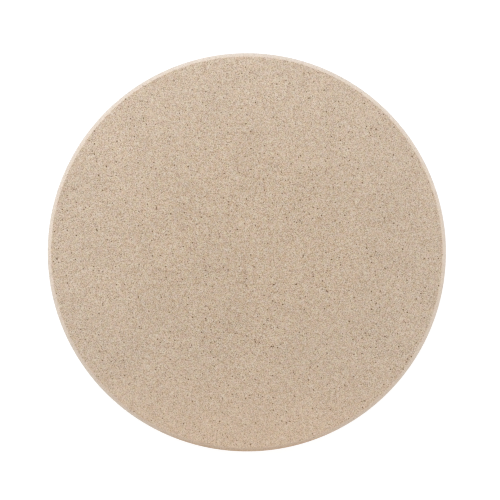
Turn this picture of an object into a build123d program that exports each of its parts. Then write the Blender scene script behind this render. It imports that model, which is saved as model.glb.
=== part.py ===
from build123d import *
import os

# A round pizza stone: one slab of cordierite stoneware, pressed dry in a steel die,
# fettled at its edges and fired. Nothing is fixed to it and nothing on it moves.
# Millimetres. It lies flat with the baking face up, so +Z is up through its middle,
# and the origin is at the centre of the underside that it rests on.

# The slab
diameter = 330.0
thickness = 12.0

# The bevel that the punch presses round the baking face: flat, at about 45 degrees
face_bevel_reach = 3.0
face_bevel_drop = 3.0

# The like bevel round the underside
base_bevel_reach = 3.0
base_bevel_rise = 3.0

# Where a bevel meets a face or the wall, the raw edge is sponged round before firing
sponged_radius = 0.6


def edge_outline():
    """One side of the slab cut through its axis: underside, bevel, wall, bevel, baking face."""
    radius = diameter / 2
    return Polyline(
        (0, 0),
        (radius - base_bevel_reach, 0),
        (radius, base_bevel_rise),
        (radius, thickness - face_bevel_drop),
        (radius - face_bevel_reach, thickness),
        (0, thickness),
        close=True,
    )


def baking_stone():
    """The slab turned from its outline, with the four breaks round its rim sponged round."""
    section = make_face(edge_outline())
    breaks = section.vertices().filter_by(lambda corner: corner.X > 0)
    section = fillet(breaks, sponged_radius)
    return revolve(Plane.XZ * section, Axis.Z)


os.makedirs("parts", exist_ok=True)
export_step(baking_stone(), "parts/baking_stone.step")
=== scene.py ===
import random
from math import cos, pi, radians, sin, sqrt, tan

import bmesh
import bpy
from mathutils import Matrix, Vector, geometry, kdtree, noise


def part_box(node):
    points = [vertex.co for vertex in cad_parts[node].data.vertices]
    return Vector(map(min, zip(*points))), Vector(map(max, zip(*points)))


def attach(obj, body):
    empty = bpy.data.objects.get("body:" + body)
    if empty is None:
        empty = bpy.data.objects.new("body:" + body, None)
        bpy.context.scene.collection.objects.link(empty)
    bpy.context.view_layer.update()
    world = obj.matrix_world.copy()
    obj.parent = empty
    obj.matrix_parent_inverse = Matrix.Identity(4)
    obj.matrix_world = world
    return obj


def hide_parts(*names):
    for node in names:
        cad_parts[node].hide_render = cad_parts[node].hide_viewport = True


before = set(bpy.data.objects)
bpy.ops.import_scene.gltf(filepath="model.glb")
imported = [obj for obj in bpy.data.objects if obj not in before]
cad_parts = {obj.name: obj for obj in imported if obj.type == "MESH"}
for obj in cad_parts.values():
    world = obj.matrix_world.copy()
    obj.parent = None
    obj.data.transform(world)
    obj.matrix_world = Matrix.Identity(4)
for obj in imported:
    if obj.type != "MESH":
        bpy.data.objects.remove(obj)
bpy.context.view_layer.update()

# The pizza stone: one slab of cordierite stoneware, pressed dry from coarse and fine grains in
# a steel die, its raw edges sponged by hand, and fired bare. Nothing is fixed to it. Its rim is
# a ring of cuts, and each face is a net that is finer at the rim and round the burnt-out pits.
MM = 0.001
low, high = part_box("baking_stone")
wall_radius = min(high.x, -low.x, high.y, -low.y)

# The rim: a flat bevel round both faces, its breaks sponged round
bevel = 3.0 * MM                 # its reach and its drop
bevel_angle = radians(45)
bevel_drift = 0.10 * MM          # how far the sponged bevel strays along the rim
bevel_drift_length = 22 * MM
sponged_radius = 0.60 * MM
sponged_drift = 0.22 * MM
sponged_drift_length = 6 * MM
wall_hollow = 0.05 * MM          # how far the wall lies inside its true circle
wall_hollow_length = 40 * MM
rim_grain = 0.035 * MM           # how far the grains stand out along the rim
rim_grain_length = 2.2 * MM
rim_count = 1300
arc_steps = 3
bevel_steps = 5
wall_steps = 8

# The faces: each dips a little, from the felt on the press, and has pits
face_hollow = 0.035 * MM
face_hollow_length = 9 * MM
face_fade = 7 * MM               # the dip dies out over this width at the rim
face_step = 2.0 * MM             # between two points of the net
face_seed = 3
underside_step = 2.5 * MM
underside_seed = 8
ring_growth = 1.5                # of the net's step, from one ring to the next inside it
ring_gap_share = 0.9             # of the ring's own step
pit_count = 170
pit_smallest = 0.32 * MM
pit_largest = 0.80 * MM
pit_depth_share = 0.6            # of the pit's own radius
pit_spacing = 4 * MM
pit_rings = [(0.0, 1.0, 1), (0.45, 0.8, 6), (0.8, 0.3, 8), (1.15, 0.0, 10)]  # radius, depth, points
pit_ragged_share = 0.3           # how far its outline strays, of its own radius
pit_clear_share = 0.4            # of the net's step, kept free round a pit
pit_iron_gain = 1.6              # the iron fills the pit and fades at its lip

flat_radius = wall_radius - bevel - sponged_radius * tan(bevel_angle / 2) - bevel_drift - sponged_drift


def uneven(place, length, steepness, octaves):
    """Waves from about -1 to 1: the widest have that length, and each octave halves it."""
    return noise.fractal(place / length, steepness, 2.0, octaves)


def as_share(wave):
    """A wave from about -1 to 1 as a share from 0 to 1."""
    return min(1, max(0, 0.5 + 0.5 * wave))


def rounded(corners, radius, run_steps):
    """An outline's points, its inner corners rounded to one radius and its straight runs divided."""
    points = [corners[0]]
    for before, corner, after in zip(corners, corners[1:], corners[2:]):
        back, on = (before - corner).normalized(), (after - corner).normalized()
        half = back.angle(on) / 2
        centre = corner + (back + on).normalized() * (radius / sin(half))
        first = corner + back * (radius / tan(half)) - centre
        turn = 1 if first.x * on.y - first.y * on.x > 0 else -1
        for step in range(arc_steps + 1):
            angle = turn * (pi - 2 * half) * step / arc_steps
            points.append(centre + Vector((first.x * cos(angle) - first.y * sin(angle),
                                           first.x * sin(angle) + first.y * cos(angle))))
    points.append(corners[-1])
    divided = []
    for place, (start, end) in enumerate(zip(points, points[1:])):
        run = run_steps[place // (arc_steps + 1)] if place % (arc_steps + 1) == 0 else 1
        divided += [start.lerp(end, part / run) for part in range(run)]
    return divided + [points[-1]]


def rim_cut(angle):
    """The rim's cut at one angle, from the baking face down to the underside, as points in 3-D."""
    out = Vector((cos(angle), sin(angle), 0))
    place = out * wall_radius
    reach = bevel + bevel_drift * noise.noise(place / bevel_drift_length)
    radius = sponged_radius + sponged_drift * uneven(place, sponged_drift_length, steepness=0.7, octaves=3)
    wall = wall_radius - wall_hollow * as_share(noise.noise(place / wall_hollow_length))
    corners = [
        Vector((flat_radius, high.z)),
        Vector((wall - reach, high.z)),
        Vector((wall, high.z - reach)),
        Vector((wall, low.z + reach)),
        Vector((wall - reach, low.z)),
        Vector((flat_radius, low.z)),
    ]
    cut = rounded(corners, radius, [1, bevel_steps, wall_steps, bevel_steps, 1])
    points = [out * p.x + Vector((0, 0, p.y)) for p in cut]
    for at in range(1, len(cut) - 1):
        along = (cut[at + 1] - cut[at - 1]).normalized()
        inward = out * along.y - Vector((0, 0, along.x))
        grain = uneven(points[at], rim_grain_length, steepness=0.8, octaves=2)
        points[at] += inward * rim_grain * as_share(grain)
    return points


def scatter_pits(seed):
    """The places and radii of one face's pits, most of them small, where iron burnt out."""
    chance = random.Random(seed)
    pits = []
    while len(pits) < pit_count:
        radius = pit_smallest + (pit_largest - pit_smallest) * chance.random() ** 2
        angle = 2 * pi * chance.random()
        spot = Vector((cos(angle), sin(angle))) * (flat_radius - pit_spacing) * sqrt(chance.random())
        if all((spot - other).length > pit_spacing for other, _ in pits):
            pits.append((spot, radius))
    return pits


def face_net(mesh, height, inward, rim_ring, step, seed):
    """One face of the slab: triangles from the rim's ring to a net of points, round its pits."""
    iron = mesh.verts.layers.float["iron"]
    pits = scatter_pits(seed)
    pit_tree = kdtree.KDTree(len(pits))
    for index, (spot, _) in enumerate(pits):
        pit_tree.insert(spot.to_3d(), index)
    pit_tree.balance()
    spots = [vert.co.xy for vert in rim_ring]
    verts = list(rim_ring)

    def add(spot, depth, iron_share):
        off = min(1, (flat_radius - spot.length) / face_fade)
        felt = uneven(Vector((*spot, height)), face_hollow_length, steepness=0.6, octaves=3)
        dip = face_hollow * off * as_share(felt) + depth
        vert = mesh.verts.new((*spot, height + inward * dip))
        vert[iron] = iron_share
        spots.append(spot)
        verts.append(vert)

    def add_clear(spot):
        _, nearest, gap = pit_tree.find(spot.to_3d())
        if gap > pits[nearest][1] * pit_rings[-1][0] + step * pit_clear_share:
            add(spot, 0, 0)

    # Rings of points inside the rim, coarser and coarser until they have the net's own step
    ring_step = 2 * pi * flat_radius / rim_count
    inset = ring_step
    while ring_step < step:
        ring_step = min(step, ring_step * ring_growth)
        count = round(2 * pi * flat_radius / ring_step)
        for part in range(count):
            angle = 2 * pi * part / count
            add_clear(Vector((cos(angle), sin(angle))) * (flat_radius - inset))
        inset += ring_step * ring_gap_share

    # Rows of points inside the rings, each row half a step along from the one before
    row_step = step * sqrt(3) / 2
    rows = int(flat_radius / row_step)
    columns = int(flat_radius / step) + 1
    for row in range(-rows, rows + 1):
        for column in range(-columns, columns + 1):
            spot = Vector(((column + row % 2 / 2) * step, row * row_step))
            if spot.length < flat_radius - inset:
                add_clear(spot)

    # The pits, each a few rings round its deepest point
    for spot, radius in pits:
        for radius_share, depth_share, count in pit_rings:
            for part in range(count):
                angle = 2 * pi * (part + 0.5 * radius_share) / count
                out = Vector((cos(angle), sin(angle)))
                ragged = 1 + pit_ragged_share * noise.noise((spot / MM + out).to_3d())
                add(spot + out * radius * radius_share * ragged,
                    radius * pit_depth_share * depth_share, min(1, pit_iron_gain * depth_share))

    net = geometry.delaunay_2d_cdt([spot / MM for spot in spots], [], [], 0, 1e-6)
    sources = net[3]
    for corners in net[2]:
        face = [verts[sources[corner][0]] for corner in corners]
        mesh.faces.new(face if inward < 0 else face[::-1])


def pressed_slab():
    """The whole slab as one closed mesh, inside the size that the frame gives it."""
    mesh = bmesh.new()
    mesh.verts.layers.float.new("iron")
    cuts = []
    for step in range(rim_count):
        cuts.append([mesh.verts.new(point) for point in rim_cut(2 * pi * step / rim_count)])
    for cut, beside in zip(cuts, cuts[1:] + cuts[:1]):
        for upper in range(len(cut) - 1):
            mesh.faces.new([cut[upper], cut[upper + 1], beside[upper + 1], beside[upper]])
    face_net(mesh, high.z, -1, [cut[0] for cut in cuts], face_step, face_seed)
    face_net(mesh, low.z, 1, [cut[-1] for cut in cuts], underside_step, underside_seed)
    data = bpy.data.meshes.new("pressed_slab")
    mesh.to_mesh(data)
    mesh.free()
    for face in data.polygons:
        face.use_smooth = True
    slab = bpy.data.objects.new("pressed_slab", data)
    bpy.context.scene.collection.objects.link(slab)
    return slab


def add_node(tree, kind, inputs=None, **settings):
    """Adds one node: settings are its own properties, and inputs are values, or sockets to link.

    An input goes by its name, or by its number where the node gives several the same name.
    """
    made = tree.nodes.new(kind)
    for name, value in settings.items():
        setattr(made, name, value)
    for name, value in (inputs or {}).items():
        if isinstance(value, bpy.types.NodeSocket):
            tree.links.new(value, made.inputs[name])
        else:
            made.inputs[name].default_value = value
    return made


def paint(colour):
    """An sRGB hex colour as linear red, green, blue and alpha."""
    parts = [int(colour[at:at + 2], 16) / 255 for at in (1, 3, 5)]
    return [p / 12.92 if p <= 0.04045 else ((p + 0.055) / 1.055) ** 2.4 for p in parts] + [1]


def fired_cordierite():
    """Bare fired cordierite: dead matt and sandy, with cream, tan and brown grains under 1 mm."""
    material = bpy.data.materials.new("fired_cordierite")
    material.use_nodes = True
    tree = material.node_tree
    tree.nodes.clear()
    place = add_node(tree, "ShaderNodeTexCoord").outputs["Object"]

    # The grains: each has one colour, from dark tan to cream, and the coarse ones show faintly
    # through the fine ones. The finest, 0.1 mm, are too fine to show, so all are drawn coarser.
    fine_grog = 0.42 * MM
    coarse_grog = 1.1 * MM
    coarse_share = 0.05
    tones = {0.0: "#A68A72", 0.2: "#BFA58F", 0.5: "#D5C1AD", 0.8: "#DCCBB9", 1.0: "#E1D1C3"}
    fine = add_node(tree, "ShaderNodeTexVoronoi", {"Vector": place, "Scale": 1 / fine_grog})
    fine_pick = add_node(tree, "ShaderNodeSeparateColor", {"Color": fine.outputs["Color"]})
    coarse = add_node(tree, "ShaderNodeTexVoronoi", {"Vector": place, "Scale": 1 / coarse_grog})
    coarse_pick = add_node(tree, "ShaderNodeSeparateColor", {"Color": coarse.outputs["Color"]})
    tone = add_node(tree, "ShaderNodeMix", {
        "Factor": coarse_share, "A": fine_pick.outputs["Red"], "B": coarse_pick.outputs["Red"]})
    minerals = add_node(tree, "ShaderNodeValToRGB", {"Fac": tone.outputs["Result"]})
    stops = minerals.color_ramp.elements
    for at in list(tones)[1:-1]:
        stops.new(at)
    for stop, colour in zip(stops, tones.values()):
        stop.color = paint(colour)

    # The clay between them leans to rust or to grey, and here and there to yellow.
    patch = 4.2 * MM
    patches = add_node(tree, "ShaderNodeTexNoise", {
        "Vector": place, "Scale": 1 / patch, "Detail": 3.0, "Roughness": 0.7})
    patch_pick = add_node(tree, "ShaderNodeSeparateColor", {"Color": patches.outputs["Color"]})
    grey = add_node(tree, "ShaderNodeMapRange", {
        "Value": patch_pick.outputs["Red"], "From Min": 0.35, "From Max": 0.65})
    cast = add_node(tree, "ShaderNodeMix", {
        "Factor": grey.outputs["Result"], "A": paint("#F9F1EF"), "B": paint("#FBFFFF")},
        data_type="RGBA")
    yellow = add_node(tree, "ShaderNodeMapRange", {
        "Value": patch_pick.outputs["Blue"], "From Min": 0.35, "From Max": 0.65})
    yellowed = add_node(tree, "ShaderNodeMix", {
        "Factor": yellow.outputs["Result"], "A": cast.outputs["Result"], "B": paint("#FBFBE9")},
        data_type="RGBA", blend_type="MULTIPLY")
    clay = add_node(tree, "ShaderNodeMix", {
        "Factor": 1.0, "A": minerals.outputs["Color"], "B": yellowed.outputs["Result"]},
        data_type="RGBA", blend_type="MULTIPLY")

    # It is painted a little paler towards the rim, a painted rim light, and cloudy where the die was
    # filled unevenly.
    pale_share = 0.08
    pale_start = 0.3 * wall_radius
    cloud = 26 * MM
    across = add_node(tree, "ShaderNodeVectorMath", {0: place, 1: (1, 1, 0)}, operation="MULTIPLY")
    off_centre = add_node(tree, "ShaderNodeVectorMath", {0: across.outputs["Vector"]}, operation="LENGTH")
    paler = add_node(tree, "ShaderNodeMapRange", {
        "Value": off_centre.outputs["Value"], "From Min": pale_start, "From Max": wall_radius,
        "To Min": 0.0, "To Max": pale_share}, interpolation_type="SMOOTHSTEP")
    # Painted rim light: the clay is mixed towards a pale cream from the middle out to the rim.
    rim_lit = add_node(tree, "ShaderNodeMix", {
        "Factor": paler.outputs["Result"], "A": clay.outputs["Result"], "B": paint("#F4EADF")},
        data_type="RGBA")
    clouds = add_node(tree, "ShaderNodeTexNoise", {
        "Vector": place, "Scale": 1 / cloud, "Detail": 1.0, "Roughness": 0.5})
    shade = add_node(tree, "ShaderNodeMapRange", {
        "Value": clouds.outputs["Fac"], "From Min": 0.3, "From Max": 0.7,
        "To Min": 0.99, "To Max": 1.04})
    clouded = add_node(tree, "ShaderNodeVectorMath", {
        0: rim_lit.outputs["Result"], "Scale": shade.outputs["Result"]}, operation="SCALE")

    # The iron in the clay burns to dark brown specks: some grains, a scatter of ragged spots,
    # and the pits that the mesh has.
    dark_grain_share = 0.09          # of the fine grains, by number
    dark_grain_iron = 0.65           # how much of such a grain is iron
    speck_spacing = 3.7 * MM
    speck_smallest = 0.24 * MM
    speck_largest = 0.69 * MM
    speck_core_share = 0.8           # of its radius, inside its soft edge
    stray_length = 3 * speck_smallest
    dark_grain = add_node(tree, "ShaderNodeMath", {
        0: fine_pick.outputs["Green"], 1: dark_grain_share}, operation="LESS_THAN")
    strays = add_node(tree, "ShaderNodeTexNoise", {"Vector": place, "Scale": 1 / stray_length})
    stray = add_node(tree, "ShaderNodeVectorMath", {
        0: strays.outputs["Color"], 1: (speck_smallest, speck_smallest, speck_smallest), 2: place},
        operation="MULTIPLY_ADD")
    specks = add_node(tree, "ShaderNodeTexVoronoi", {
        "Vector": stray.outputs["Vector"], "Scale": 1 / speck_spacing})
    speck_pick = add_node(tree, "ShaderNodeSeparateColor", {"Color": specks.outputs["Color"]})
    speck_edge = add_node(tree, "ShaderNodeMapRange", {
        "Value": speck_pick.outputs["Red"],
        "To Min": speck_smallest / speck_spacing, "To Max": speck_largest / speck_spacing})
    speck_core = add_node(tree, "ShaderNodeMath", {
        0: speck_edge.outputs["Result"], 1: speck_core_share}, operation="MULTIPLY")
    speck = add_node(tree, "ShaderNodeMapRange", {
        "Value": specks.outputs["Distance"], "From Min": speck_core.outputs["Value"],
        "From Max": speck_edge.outputs["Result"], "To Min": 1.0, "To Max": 0.0})
    pitted = add_node(tree, "ShaderNodeAttribute", attribute_name="iron")
    spot = add_node(tree, "ShaderNodeMath", {
        0: speck.outputs["Result"], 1: pitted.outputs["Fac"]}, operation="MAXIMUM")
    iron = add_node(tree, "ShaderNodeMath", {
        0: dark_grain.outputs["Value"], 1: dark_grain_iron, 2: spot.outputs["Value"]},
        operation="MULTIPLY_ADD", use_clamp=True)
    ironed = add_node(tree, "ShaderNodeMix", {
        "Factor": iron.outputs["Value"], "A": clouded.outputs["Vector"], "B": paint("#6B4C19")},
        data_type="RGBA")

    # Sponging drags the finest clay over the bevels and the wall: a smoother, paler skin. It has a
    # ragged edge at the face, is thickest at the outer break and greyest there, partly a rubbed break
    # and partly painted sheen, and the die wears it in upright streaks on the wall.
    skin_raggedness = 0.6 * MM
    skin_fade = 0.4 * MM
    streak_stretch = 0.12            # a streak's width is this share of its height
    outer_break = 0.3 * MM           # from the wall in to where the skin is thickest
    skin_at_face = 0.42
    skin_gain = 0.23                 # from the bevel's inner to its outer break
    wear_start = 0.1 * MM
    wear_end = 0.4 * MM
    worn_share = 0.5
    upright = add_node(tree, "ShaderNodeVectorMath", {
        0: place, 1: (1, 1, streak_stretch)}, operation="MULTIPLY")
    ragged = add_node(tree, "ShaderNodeTexNoise", {
        "Vector": upright.outputs["Vector"], "Scale": 1 / coarse_grog, "Detail": 1.0})
    ragged_place = add_node(tree, "ShaderNodeMath", {
        0: ragged.outputs["Fac"], 1: skin_raggedness, 2: off_centre.outputs["Value"]},
        operation="MULTIPLY_ADD")
    sponged = add_node(tree, "ShaderNodeMapRange", {
        "Value": ragged_place.outputs["Value"], "From Min": wall_radius - bevel,
        "From Max": wall_radius - bevel + skin_fade})
    outward = add_node(tree, "ShaderNodeMapRange", {
        "Value": off_centre.outputs["Value"], "From Min": wall_radius - bevel,
        "From Max": wall_radius - outer_break})
    thick = add_node(tree, "ShaderNodeMath", {
        0: outward.outputs["Result"], 1: skin_gain, 2: skin_at_face}, operation="MULTIPLY_ADD")
    worn = add_node(tree, "ShaderNodeMapRange", {
        "Value": ragged_place.outputs["Value"], "From Min": wall_radius + wear_start,
        "From Max": wall_radius + wear_end, "To Min": 1.0, "To Max": worn_share})

    # Along the -Y side the stone carries painted warm light, less of it down the wall, and at the outer
    # break there a painted contact shade: the skin is thinned there and turned a darker brown.
    contact_shade_start = -0.86 * wall_radius
    warm_light_start = -0.5 * wall_radius
    painted_light_foot = 0.35 * high.z
    warm_light_share = 0.12
    shaded_skin_loss = 0.5
    along = add_node(tree, "ShaderNodeSeparateXYZ", {"Vector": place})
    upper = add_node(tree, "ShaderNodeMapRange", {
        "Value": along.outputs["Z"], "From Min": painted_light_foot, "From Max": high.z - bevel})
    contact_side = add_node(tree, "ShaderNodeMapRange", {
        "Value": along.outputs["Y"], "From Min": contact_shade_start, "From Max": -wall_radius},
        interpolation_type="SMOOTHSTEP")
    contact_band = add_node(tree, "ShaderNodeMath", {
        0: contact_side.outputs["Result"], 1: upper.outputs["Result"]}, operation="MULTIPLY")
    contact_shade = add_node(tree, "ShaderNodeMath", {
        0: contact_band.outputs["Value"], 1: outward.outputs["Result"]}, operation="MULTIPLY")
    # Painted contact shade: the skin is thinned at the outer break along the -Y side, so the darker stone
    # shows.
    unshaded_skin = add_node(tree, "ShaderNodeMath", {
        0: contact_shade.outputs["Value"], 1: -shaded_skin_loss, 2: 1.0}, operation="MULTIPLY_ADD")
    skin = sponged.outputs["Result"]
    for share in [thick.outputs["Value"], worn.outputs["Result"], unshaded_skin.outputs["Value"]]:
        skin = add_node(tree, "ShaderNodeMath", {0: skin, 1: share}, operation="MULTIPLY").outputs["Value"]
    # Greyer towards the outer break: partly a rubbed break, partly painted sheen.
    rubbed_and_sheen_grey = add_node(tree, "ShaderNodeMix", {
        "Factor": outward.outputs["Result"], "A": paint("#E4D6C8"), "B": paint("#DCD4CA")},
        data_type="RGBA")
    # Painted contact shade: there the skin's colour turns to a darker brown.
    skin_and_shade_colour = add_node(tree, "ShaderNodeMix", {
        "Factor": contact_shade.outputs["Value"], "A": rubbed_and_sheen_grey.outputs["Result"], "B": paint("#D2B092")},
        data_type="RGBA")
    skinned = add_node(tree, "ShaderNodeMix", {
        "Factor": skin, "A": ironed.outputs["Result"], "B": skin_and_shade_colour.outputs["Result"]},
        data_type="RGBA")
    # Painted warm light: the -Y side is mixed towards a light warm tint, less so down the wall.
    warm_light_ramp = add_node(tree, "ShaderNodeMapRange", {
        "Value": along.outputs["Y"], "From Min": warm_light_start, "From Max": -wall_radius,
        "To Min": 0.0, "To Max": warm_light_share})
    warm_light = add_node(tree, "ShaderNodeMath", {
        0: warm_light_ramp.outputs["Result"], 1: upper.outputs["Result"]}, operation="MULTIPLY")
    warm_lit = add_node(tree, "ShaderNodeMix", {
        "Factor": warm_light.outputs["Value"], "A": skinned.outputs["Result"], "B": paint("#FFD2A5")},
        data_type="RGBA")

    # Bare and porous, it has no gloss, only a faint glaze on the burnt iron. The grains stand
    # out by hundredths of a millimetre, less so under the skin.
    bare_roughness = 0.9
    glazed_roughness = 0.6
    grain_height = 0.06 * MM
    skin_smoothing = 0.7
    gloss = add_node(tree, "ShaderNodeMapRange", {
        "Value": iron.outputs["Value"], "To Min": bare_roughness, "To Max": glazed_roughness})
    relief = add_node(tree, "ShaderNodeMath", {
        0: tone.outputs["Result"], 1: iron.outputs["Value"]}, operation="SUBTRACT")
    standing = add_node(tree, "ShaderNodeMath", {
        0: skin, 1: -skin_smoothing, 2: 1.0}, operation="MULTIPLY_ADD")
    rough = add_node(tree, "ShaderNodeBump", {
        "Height": relief.outputs["Value"], "Distance": grain_height,
        "Strength": standing.outputs["Value"]})
    stone = add_node(tree, "ShaderNodeBsdfPrincipled", {
        "Base Color": warm_lit.outputs["Result"], "Roughness": gloss.outputs["Result"],
        "IOR": 1.54, "Diffuse Roughness": 0.4, "Normal": rough.outputs["Normal"]})
    add_node(tree, "ShaderNodeOutputMaterial", {"Surface": stone.outputs["BSDF"]})
    return material


slab = pressed_slab()
slab.data.materials.append(fired_cordierite())
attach(slab, "root")
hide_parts("baking_stone")

# The floor: a plain sheet of white acrylic, lit from below as for product pictures, so that it
# stays white right up to the stone. Its glow is turned down under the stone, a painted contact
# shadow at the foot, which would otherwise be lit by the glow and seem to float.
floor_half = 12.0
shadow_edge = 0.5 * MM             # the mask fades out this far outside the wall
shadow_fade = 3.0 * MM
shadowed_glow = 0.2
open_glow = 0.9


def lit_acrylic():
    """White acrylic that is lit from below, its glow turned down under the stone as a painted contact
    shadow.
    """
    material = bpy.data.materials.new("lit_acrylic")
    material.use_nodes = True
    tree = material.node_tree
    tree.nodes.clear()
    place = add_node(tree, "ShaderNodeTexCoord").outputs["Object"]
    from_middle = add_node(tree, "ShaderNodeVectorMath", {0: place}, operation="LENGTH")
    # Painted contact shadow: the glow falls to a low value from just outside the wall inwards.
    glow = add_node(tree, "ShaderNodeMapRange", {
        "Value": from_middle.outputs["Value"], "From Min": wall_radius + shadow_edge - shadow_fade,
        "From Max": wall_radius + shadow_edge, "To Min": shadowed_glow, "To Max": open_glow})
    sheet = add_node(tree, "ShaderNodeBsdfPrincipled", {
        "Base Color": paint("#7C7C7C"), "Roughness": 0.8,
        "Emission Color": paint("#FFFFFF"), "Emission Strength": glow.outputs["Result"]})
    add_node(tree, "ShaderNodeOutputMaterial", {"Surface": sheet.outputs["BSDF"]})
    return material


floor_data = bpy.data.meshes.new("floor")
floor_data.from_pydata(
    [(-floor_half, -floor_half, 0), (floor_half, -floor_half, 0),
     (floor_half, floor_half, 0), (-floor_half, floor_half, 0)], [], [(0, 1, 2, 3)])
floor_data.materials.append(lit_acrylic())
floor = bpy.data.objects.new("floor", floor_data)
bpy.context.scene.collection.objects.link(floor)

# The light: a white tent, bright at the horizon and dimmer and warmer overhead, a cool key above
# the stone's far left edge, and a low fill on each side that brings out the bevel.
wall_top = radians(10)           # above it the tent's wall begins to turn into its roof
roof_edge = radians(25)
world = bpy.data.worlds.new("light_tent")
bpy.context.scene.world = world
world.use_nodes = True
tent = world.node_tree
way = add_node(tent, "ShaderNodeTexCoord").outputs["Generated"]
rise = add_node(tent, "ShaderNodeSeparateXYZ", {"Vector": way}).outputs["Z"]
overhead = add_node(tent, "ShaderNodeMapRange", {
    "Value": rise, "From Min": sin(wall_top), "From Max": sin(roof_edge)})
cloth = add_node(tent, "ShaderNodeMix", {
    "Factor": overhead.outputs["Result"], "A": paint("#FFFFFF"), "B": paint("#A2988E")},
    data_type="RGBA")
tent.links.new(cloth.outputs["Result"], tent.nodes["Background"].inputs["Color"])
tent.nodes["Background"].inputs["Strength"].default_value = 1.1


def softbox(name, azimuth, elevation, distance, size, radiance, colour):
    """A soft area light that faces the middle of the stone, from an azimuth and an elevation."""
    a, e = radians(azimuth), radians(elevation)
    light = bpy.data.lights.new(name, "AREA")
    light.shape = "RECTANGLE"
    light.size, light.size_y = size
    light.energy = radiance * pi * size[0] * size[1]
    light.color = paint(colour)[:3]
    lamp = bpy.data.objects.new(name, light)
    bpy.context.scene.collection.objects.link(lamp)
    lamp.location = Vector((cos(a) * cos(e), sin(a) * cos(e), sin(e))) * distance
    lamp.rotation_euler = (-lamp.location).to_track_quat("-Z", "Y").to_euler()
    lamp.visible_camera = False


softbox("key", azimuth=105, elevation=65, distance=1.2,
        size=(0.8, 0.34), radiance=13.6, colour="#E6F1FF")
softbox("left_fill", azimuth=180, elevation=12, distance=0.7,
        size=(0.45, 0.2), radiance=2.0, colour="#FFFFFF")
softbox("right_fill", azimuth=345, elevation=8, distance=1.0,
        size=(0.6, 0.26), radiance=4.0, colour="#FFFDFB")

# The camera: it looks straight down on the baking face, as the photograph does, through a lens
# so long that next to nothing of the wall shows.
lens_mm = 300
sensor_mm = 36
picture_width_px = 500
disc_width_px = 398.4
disc_centre_px = (246.83, 252.28)
scene = bpy.context.scene
camera_data = bpy.data.cameras.new("camera")
camera_data.lens = lens_mm
camera_data.sensor_width = sensor_mm
camera = bpy.data.objects.new("camera", camera_data)
scene.collection.objects.link(camera)
pixel = 2 * wall_radius / disc_width_px
rim_height = high.z - bevel
distance = pixel * picture_width_px * lens_mm / sensor_mm
camera.location = (
    (picture_width_px / 2 - disc_centre_px[0]) * pixel,
    (disc_centre_px[1] - picture_width_px / 2) * pixel,
    rim_height + distance,
)
scene.camera = camera
scene.view_settings.view_transform = "Standard"
scene.cycles.filter_width = 1.28           # pixels: a lens sharp enough for the finest grains
scene.cycles.denoising_prefilter = "NONE"  # or the denoiser takes the stone's grain for noise
